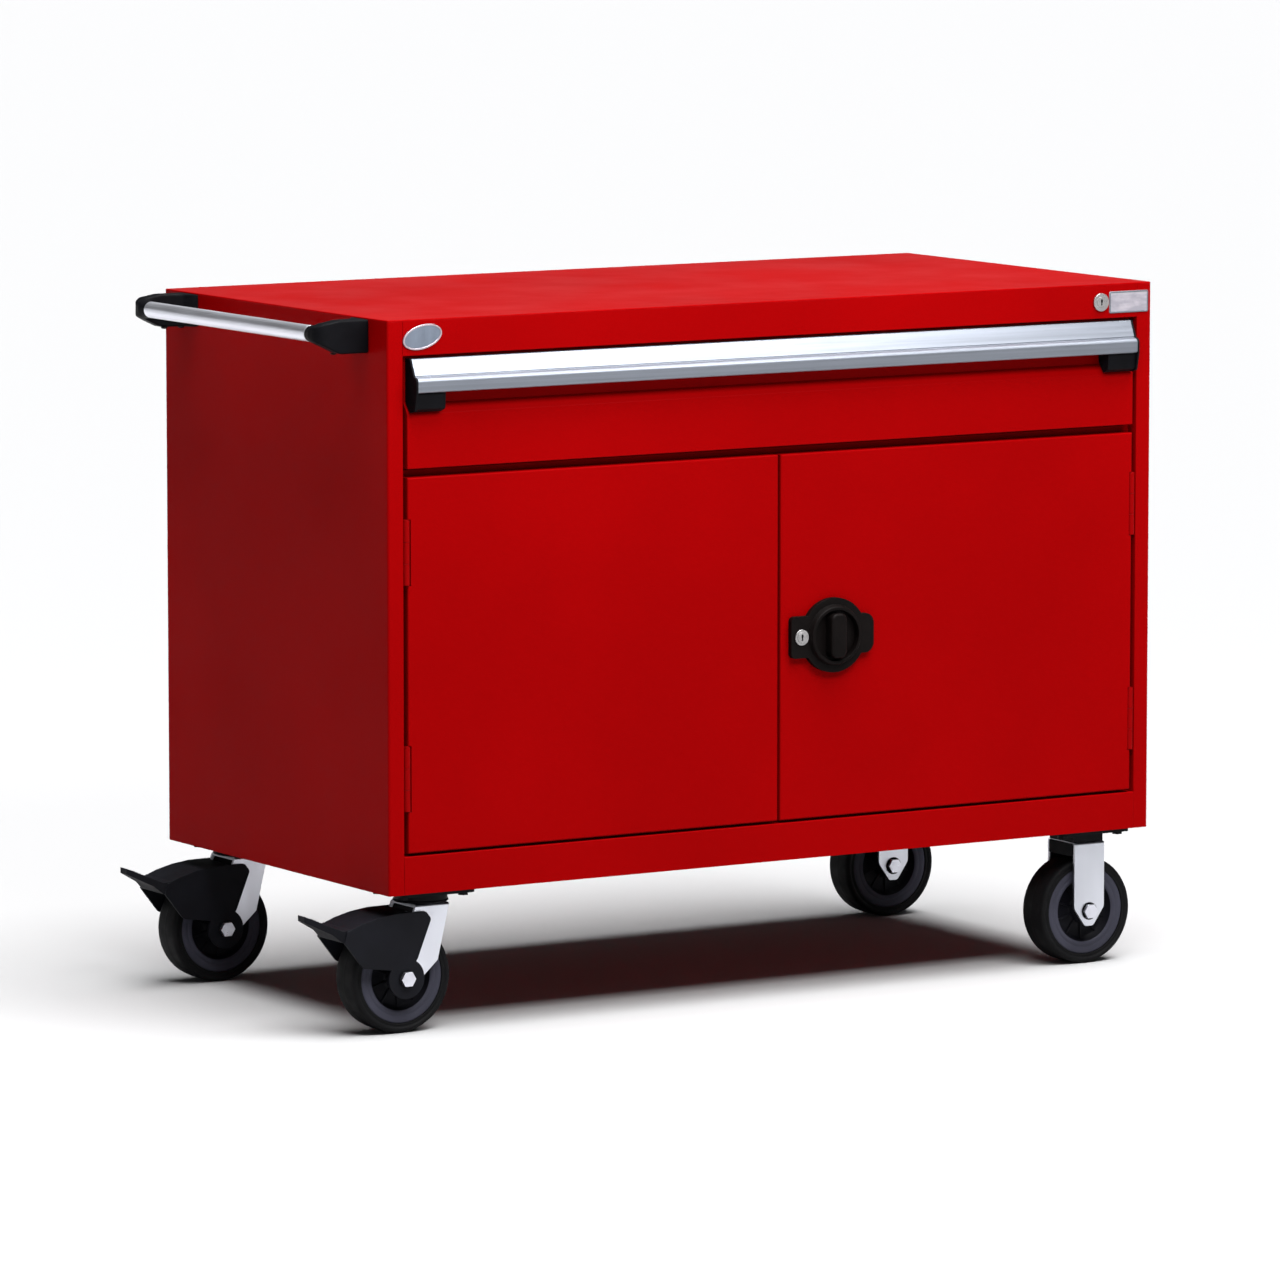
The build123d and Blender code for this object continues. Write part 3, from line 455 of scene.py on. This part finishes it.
hat = [(-22, 1.6), (-13, 1.6), (-10, 12.5), (10, 12.5), (13, 1.6), (22, 1.6), (22, 2.6), (13.8, 2.6),
       (10.8, 13.5), (-10.8, 13.5), (-13.8, 2.6), (-22, 2.6)]
hat_low, hat_high, brim_y = 75, 533, 2.6
weld_r, weld_x, weld_pitch, first_weld = 2.6, 17.8, 50, hat_low + 29
for name, x in (("right", 330), ("left", -290)):
    stiffener = piece(f"stiffener_{name}", put(slab(hat, hat_low, hat_high, "Z"), x), red_coat)
    fit(soften(stiffener, 0.0004), f"{name}_door", "red_powder_coat")
    weld = piece("weld", small(dome(weld_r, 0.4, "Y")), red_coat)
    fit(repeated(f"spot_welds_{name}", weld, red_coat, 9, (0, 0, 0.001 * weld_pitch),
                 at(x - weld_x, brim_y, first_weld), rows=2, row_step=(0.002 * weld_x, 0, 0)),
        f"{name}_door", "red_powder_coat")

strike = [(1.6, 520), (1.6, 530), (20.2, 531.2), (20.2, 542.8), (1.6, 544), (1.6, 550), (2.8, 550),
          (2.8, 545.2), (21.4, 544), (21.4, 530), (2.8, 528.8), (2.8, 520)]
strike_left, strike_right = -60, -32
strike_plate = piece("strike_plate", put(slab(strike, strike_left, strike_right, "X")), zinc)
fit(soften(strike_plate, 0.0003), "left_door", "zinc_steel")


# ---- Latch -----------------------------------------------------------------------------------
# Black moulded escutcheon and turning grip on the right door; behind them a gear case, two flat
# zinc-plated rods and their guides.

latch_black = moulded("black_latch_plastic", (0.0024, 0.0016, 0.0015, 1), 0.45, 0.6, 1000, 0.22,
                      Specular_IOR_Level=0.06)
paint_nodes(latch_black, "latch_escutcheon", "latch_knob")
paint_nodes(plastic, "latch_gearbox", "latch_rod_guides")
paint_nodes(zinc, "latch_pinion", "latch_rod_upper", "latch_rod_lower")


# ---- Locks -----------------------------------------------------------------------------------
# Two nickel-plated cylinder locks, one for the drawer on the header and one beside the grip. Each
# plug holds the cam; a thin black patch over its keyway is painted shade for the dark slot.

nickel = metal("nickel_lock", (0.46, 0.45, 0.45, 1), 0.24, 0.36, 400, marks=0.04)
paint_nodes(nickel, "drawer_lock_barrel", "drawer_lock_plug", "latch_key_barrel", "latch_key_plug")
keyway_shade = [(-0.8, -4.2), (0.8, -4.2), (0.8, -0.6), (1.5, 0.4), (1.5, 3.2), (0.7, 4.2), (-0.7, 4.2),
          (-1.5, 3.2), (-1.5, 0.4), (-0.8, -0.6)]
proud_of_plug, sunk = 0.12, 0.2
for name, face, x, z in (("drawer", -3.5, 524.5, 737), ("door", -10, 31, 304)):
    # Painted shade: a thin black patch on the plug face in the keyway's outline.
    dark_keyway_patch = put(slab(keyway_shade, face - proud_of_plug, face + sunk, "Y"), x, 0, z)
    fit(piece(f"keyway_{name}", dark_keyway_patch, plastic), f"{name}_key", "black_plastic")


# ---- Drawer ----------------------------------------------------------------------------------
# Coated front, and a spot-welded steel tray whose front and back walls have upright ribs for loose
# partitions. Zinc-plated telescopic slides run on balls.

paint_nodes(red_coat, "drawer_front", "drawer_tray")
paint_nodes(zinc, "slide_inners", "slide_middles", "slide_outers")

rib_h, rib_gap, ribs_x, ribs_y, ribs_z, ends_apart = 62, 26, -546, 22.2, 604, 560.6
partition_rib = piece("partition_rib", small(slab(rectangle(-1, 1, -0.9, 0.9), 0, rib_h, "Z")), red_coat)
fit(repeated("partition_ribs", soften(partition_rib, 0.0003), red_coat, 43, (0.001 * rib_gap, 0, 0),
             at(ribs_x, ribs_y, ribs_z), rows=2, row_step=(0, 0.001 * ends_apart, 0)), "drawer",
    "red_powder_coat")

ball_r, ball_pitch, first_y, lower_z, tracks_apart = 1.15, 16, 36, 604.3, 31.4
ball_outline = [(ball_r * cos(radians(a)), ball_r * sin(radians(a))) for a in range(-90, 91, 30)]
for side, name in ((1, "right"), (-1, "left")):
    for x, row in ((568.6, "inner"), (575.6, "outer")):
        ball = piece("ball", small(turned(ball_outline, 12, "Z")), zinc)
        fit(repeated(f"slide_balls_{row}_{name}", ball, zinc, 34, (0, 0.001 * ball_pitch, 0),
                     at(side * x, first_y, lower_z), rows=2, row_step=(0, 0, 0.001 * tracks_apart)),
            "slide_rails", "zinc_steel")


# ---- Drawer pull -----------------------------------------------------------------------------
# Extruded aluminium bar, brushed along its length and clear anodised, between two black moulded
# end caps that close the recess.

aluminium = metal("satin_aluminium", (0.25, 0.27, 0.31, 1), 0.38, 0.5, 900, (0.012, 1, 1), marks=0.12)
paint_nodes(aluminium, "drawer_handle")


def finished(name, finish, width, *sources, angle=30):
    """Copy of CAD nodes, merged and cleaned, with its sharp edges rounded."""
    shape = bmesh.new()
    for source in sources:
        shape.from_mesh(nodes[source].data)
    bmesh.ops.remove_doubles(shape, verts=shape.verts, dist=2e-6)
    bmesh.ops.dissolve_limit(shape, angle_limit=radians(0.8), verts=shape.verts, edges=shape.edges)
    return soften(piece(name, shape, finish, crease=angle), width, angle)


fit(finished("pull_end_caps", plastic, 0.0009, "drawer_handle_caps"), "drawer", "black_plastic",
    "drawer_handle_caps")


# ---- Badge and label -------------------------------------------------------------------------
# Plain oval badge of pressed metal with a raised rim, and a plain printed label in a thin frame,
# both glued to the header. Neither carries any words.

badge_metal = metal("badge_metal", (0.25, 0.29, 0.36, 1), 0.34, 0.5, 300, (1, 1, 0.1), marks=0.05)
rim_metal = metal("badge_rim", (0.62, 0.52, 0.56, 1), 0.3, 0.42, 300, marks=0.05)
label_film = shader("label_film", Specular_IOR_Level=0.3)
relief(label_film, grain(label_film, 500), 0.05, 0.0001, 0.0003)
faded = spread(label_film, grain(label_film, 90, 4.0, (0.4, 1, 1)), 0.4, 0.6)
feed(label_film, Base_Color=mixed(label_film, faded, (0.21, 0.20, 0.23, 1), (0.30, 0.28, 0.31, 1)),
     Roughness=spread(label_film, grain(label_film, 40, 4.0), 0.3, 0.7, 0.35, 0.5))
paint_nodes(badge_metal, "badge_plate")
paint_nodes(label_film, "label_plate")


def oval(half_w, half_h, tilt=13.0, steps=72):
    """Tilted oval outline."""
    c, s = cos(radians(tilt)), sin(radians(tilt))
    spots = [(half_w * cos(2 * pi * k / steps), half_h * sin(2 * pi * k / steps)) for k in range(steps)]
    return [(u * c - v * s, u * s + v * c) for u, v in spots]


badge_x, badge_z = -557, 738.5
rim = slab(oval(29.9, 15.9), -1.9, -1.1, "Y", oval(27.6, 13.6))
fit(soften(piece("badge_rim", put(rim, badge_x, 0, badge_z), rim_metal), 0.0003), "housing", "badge_metal")
frame_outline, window = rectangle(539.2, 603.8, 721.2, 750.8, 2.4), rectangle(541, 602, 723, 749, 1.2)
label_frame = piece("label_frame", put(slab(frame_outline, -1.5, -0.9, "Y", window)), aluminium)
fit(soften(label_frame, 0.0002), "housing", "satin_aluminium")


# ---- Push handle -----------------------------------------------------------------------------
# Brushed aluminium tube between two black moulded elbows on the cabinet's left side. Two black
# steel screws enter each elbow from below.

tube_metal = metal("tube_aluminium", (0.88, 0.89, 0.96, 1), 0.36, 0.46, 900, (1, 0.012, 1), marks=0.08)
black_steel = moulded("black_steel", (0.002, 0.002, 0.0026, 1), 0.4, 0.5, 700, 0.1,
                      Specular_IOR_Level=0.08)
paint_nodes(tube_metal, "push_handle_tube")


def moulded_copy(name, finish, source, cell, passes):
    """Copy of a CAD node with all its edges melted into one soft moulded skin."""
    rough = finished(name, finish, 0.0, source)
    rough.modifiers.clear()
    remesh = rough.modifiers.new("skin", "REMESH")
    remesh.mode, remesh.voxel_size, remesh.use_smooth_shade = "VOXEL", cell, True
    smooth = rough.modifiers.new("melt", "SMOOTH")
    smooth.factor, smooth.iterations = 0.5, passes
    bpy.context.view_layer.update()
    ready = rough.evaluated_get(bpy.context.evaluated_depsgraph_get())
    mesh = bpy.data.meshes.new_from_object(ready)
    mesh.name = name
    rough.modifiers.clear()
    rough.data = mesh
    if not mesh.materials:
        mesh.materials.append(finish)
    low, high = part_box(source)
    for vertex in mesh.vertices:
        vertex.co = [min(max(vertex.co[i], low[i]), high[i]) for i in range(3)]
    mesh.shade_smooth()
    return rough


elbows = moulded_copy("push_elbows", plastic, "push_handle_brackets", cell=0.0011, passes=14)
fit(elbows, "housing", "black_plastic", "push_handle_brackets")
screw_r, screw_h, screw_gap, elbows_apart = 4.5, 2.4, 26, 465.6
first_screw = at(-624, 72, 716.3)
screw = piece("screw", small(dome(screw_r, screw_h, "Z", sign=-1)), black_steel)
fit(repeated("elbow_screws", screw, black_steel, 2, (-0.001 * screw_gap, 0, 0), first_screw, rows=2,
             row_step=(0, 0.001 * elbows_apart, 0)), "housing", "black_steel")


# ---- Casters: plates and swivel heads --------------------------------------------------------
# Pressed plates bolted to the base channels. The two on the left carry a ball race with a dust
# ring; the right ones are fixed.

row_places = {"front": 57.0, "rear": 552.6}
swivel_x, axle_x, fixed_x, axle_z = -529.0, -572.0, 529.0, -115.5
paint_nodes(black_steel, "caster_top_plates", "caster_bolts")
paint_nodes(zinc, "kingpins")
dust_ring = [(32, -17.9), (36.2, -17.9), (37.2, -16.7), (37.2, -15.6), (36.2, -14.6), (32, -14.6)]
for row, y in row_places.items():
    fit(piece(f"dust_ring_{row}", put(turned(dust_ring, 96, "Z"), swivel_x, y), plastic), "housing",
        "black_plastic")


# ---- Casters: forks --------------------------------------------------------------------------
# Bright zinc-plated pressings with rounded edges. Black sheets inside the legs and black plates at the
# ends of the fixed forks' crowns are painted shade, darkening the forks' shadowed insides.

fork_zinc = metal("fork_zinc", (0.72, 0.74, 0.80, 1), 0.3, 0.42, 40, (1, 1, 0.25), marks=0.015)
fit(finished("fixed_forks", fork_zinc, 0.0018, "rigid_forks"), "housing", "zinc_steel", "rigid_forks")
fixed_shade_sheet = [(-23, -24), (23, -24), (22, -88), (12, -94), (-12, -94), (-22, -88)]
swivel_shade_sheet = [(-24, -24), (23, -24), (10, -70), (4, -92), (-14, -96), (-46, -96), (-53, -88)]
crown, crown_x, end_t = rectangle(-28.8, 28.8, -38, -19.5, 2), 25.1, 0.8
shade_sheet_y, shade_sheet_t = 28.05, 0.9
for row, y in row_places.items():
    # Black plates at the ends of each fixed crown: painted shade for the crown's shadowed inside.
    for side, x in (("left", -crown_x - end_t), ("right", crown_x)):
        end = slab(crown, x, x + end_t, "X")
        fit(soften(piece(f"crown_shade_plate_{row}_{side}", put(end, fixed_x, y), plastic), 0.0002), "housing",
            "black_plastic")
    fit(finished(f"swivel_fork_cover_{row}", fork_zinc, 0.0018, f"swivel_fork_{row}"), f"swivel_{row}",
        "zinc_steel", f"swivel_fork_{row}")
    # Black sheets lining each leg's inner face: painted shade for the shadowed inside of the fork.
    for side, depth in (("near", -shade_sheet_y - shade_sheet_t), ("far", shade_sheet_y)):
        for kind, x, shape, body in (("fixed", fixed_x, fixed_shade_sheet, "housing"),
                                     ("swivel", swivel_x, swivel_shade_sheet, f"swivel_{row}")):
            inner_shade = put(slab(shape, depth, depth + shade_sheet_t, "Y"), x, y)
            inner_shade = piece(f"thread_guard_{kind}_{row}_{side}", inner_shade, plastic)
            fit(soften(inner_shade, 0.0002), body, "black_plastic")


# ---- Casters: axles --------------------------------------------------------------------------
# A zinc-plated hexagon bolt with a chamfered head and a lock nut goes through each wheel and its
# fork, with a black rubber-faced washer at each end.

fit(finished("fixed_axles", zinc, 0.0005, "rigid_axle_bolts"), "housing", "zinc_steel",
    "rigid_axle_bolts")
washer_t = 1.2
washer = [(6.2, 0), (12.1, 0), (12.3, 0.25), (12.3, 0.95), (12.1, washer_t), (6.2, washer_t)]
for row, y in row_places.items():
    fit(finished(f"swivel_axle_{row}", zinc, 0.0005, f"swivel_axle_bolt_{row}"), f"swivel_{row}",
        "zinc_steel", f"swivel_axle_bolt_{row}")
    for kind, x, face, body in (("fixed", fixed_x, 33.1, "housing"),
                                ("swivel", axle_x, 37.6, f"swivel_{row}")):
        for side, depth in (("near", -face - washer_t), ("far", face)):
            ring = put(turned(washer, 48, "Y"), x, y + depth, axle_z)
            fit(piece(f"washer_{kind}_{row}_{side}", ring, plastic), body, "black_plastic")


# ---- Wheels ----------------------------------------------------------------------------------
# Black rubber tyres with a crowned tread and a moulding line, pressed on grey moulded rings; the
# dark web between ring and hub has ten shallow spokes on each face.

tread = moulded("black_tread", (0.0016, 0.0016, 0.002, 1), 0.55, 0.75, 500, 0.35,
                Specular_IOR_Level=0.12)
core_grey = moulded("grey_core", (0.026, 0.026, 0.037, 1), 0.5, 0.7, 260, 0.25,
                    Specular_IOR_Level=0.12)
web_black = moulded("web_black", (0.002, 0.002, 0.0036, 1), 0.5, 0.65, 400, 0.2,
                    Specular_IOR_Level=0.1)

half_tyre = [(61.6, 23.4), (63.4, 23.9), (64.6, 23.2), (66.2, 23.2), (67.4, 24.3), (69.6, 24.9),
             (71.4, 24.6), (73, 23.3), (74.1, 21), (74.55, 17), (74.8, 11), (74.95, 4), (74.95, 0.7),
             (75, 0.35)]
half_ring = [(44.6, 20.9), (45.6, 21.6), (47, 22.2), (50.4, 22.5), (51.2, 22.1), (52.2, 22.1),
             (53, 22.5), (59.4, 22.8), (61, 22.4), (61.6, 21.6)]
half_web = [(6.1, 28.6), (15.6, 28.6), (16.8, 27.6), (17.6, 12.4), (19.4, 10.6), (22, 10), (38, 10.4),
            (41, 12), (44.4, 20.6), (44.7, 20.6)]
spoke_root, spoke_tip, spoke_low, spoke_high, spokes = 17, 41, 9.6, 12.4, 10
spoke = [(-1.6, spoke_root), (1.6, spoke_root), (1.1, spoke_tip), (-1.1, spoke_tip)]
for row, y in row_places.items():
    for side, x in (("left", axle_x), ("right", fixed_x)):
        body = f"wheel_{row}_{side}"
        for label, half, finish, slot, stands_for in (
                ("tyre", half_tyre, tread, "black_tread", [f"tyre_{row}_{side}"]),
                ("ring", half_ring, core_grey, "grey_core", [f"wheel_core_{row}_{side}"]),
                ("web", half_web, web_black, "black_plastic", [])):
            outline = half + [(r, -h) for r, h in reversed(half)]
            wheel = put(turned(outline, 144, "Y"), x, y, axle_z)
            wheel = piece(f"wheel_{label}_{row}_{side}", wheel, finish, crease=50)
            fit(wheel, body, slot, *stands_for)
        for face, sign in (("near", -1), ("far", 1)):
            low, high = sorted((sign * spoke_low, sign * spoke_high))
            unit = piece("spoke", small(slab(spoke, low, high, "Y")), web_black)
            fit(repeated(f"spokes_{row}_{side}_{face}", soften(unit, 0.0006), web_black, spokes,
                         start=at(x, y, axle_z), turn=(0, 2 * pi / spokes, 0)), body, "black_plastic")


# ---- Brake pedals ----------------------------------------------------------------------------
# Black moulded hoods over the swivelling wheels, with rounded edges and grip ribs across the
# upturned toe.

pedal_black = moulded("pedal_black", (0.0026, 0.0028, 0.0046, 1), 0.55, 0.66, 500, 0.2,
                      Specular_IOR_Level=0.12)
grip_section, grip_half_w, grip_step = rectangle(-0.9, 0.9, -0.9, 0.6, 0.4), 9, (-0.0046, 0, 0.0021)
toe_x, toe_z = axle_x - 109, axle_z + 77.6
for row, y in row_places.items():
    fit(finished(f"pedal_hood_{row}", pedal_black, 0.0013, f"brake_pedal_{row}"), f"pedal_{row}",
        "black_plastic", f"brake_pedal_{row}")
    grip_rib = small(slab(grip_section, -grip_half_w, grip_half_w, "Y"))
    grip_rib = soften(piece("grip_rib", grip_rib, pedal_black), 0.0003)
    fit(repeated(f"grip_ribs_{row}", grip_rib, pedal_black, 5, grip_step, at(toe_x, y, toe_z)),
        f"pedal_{row}", "black_plastic")
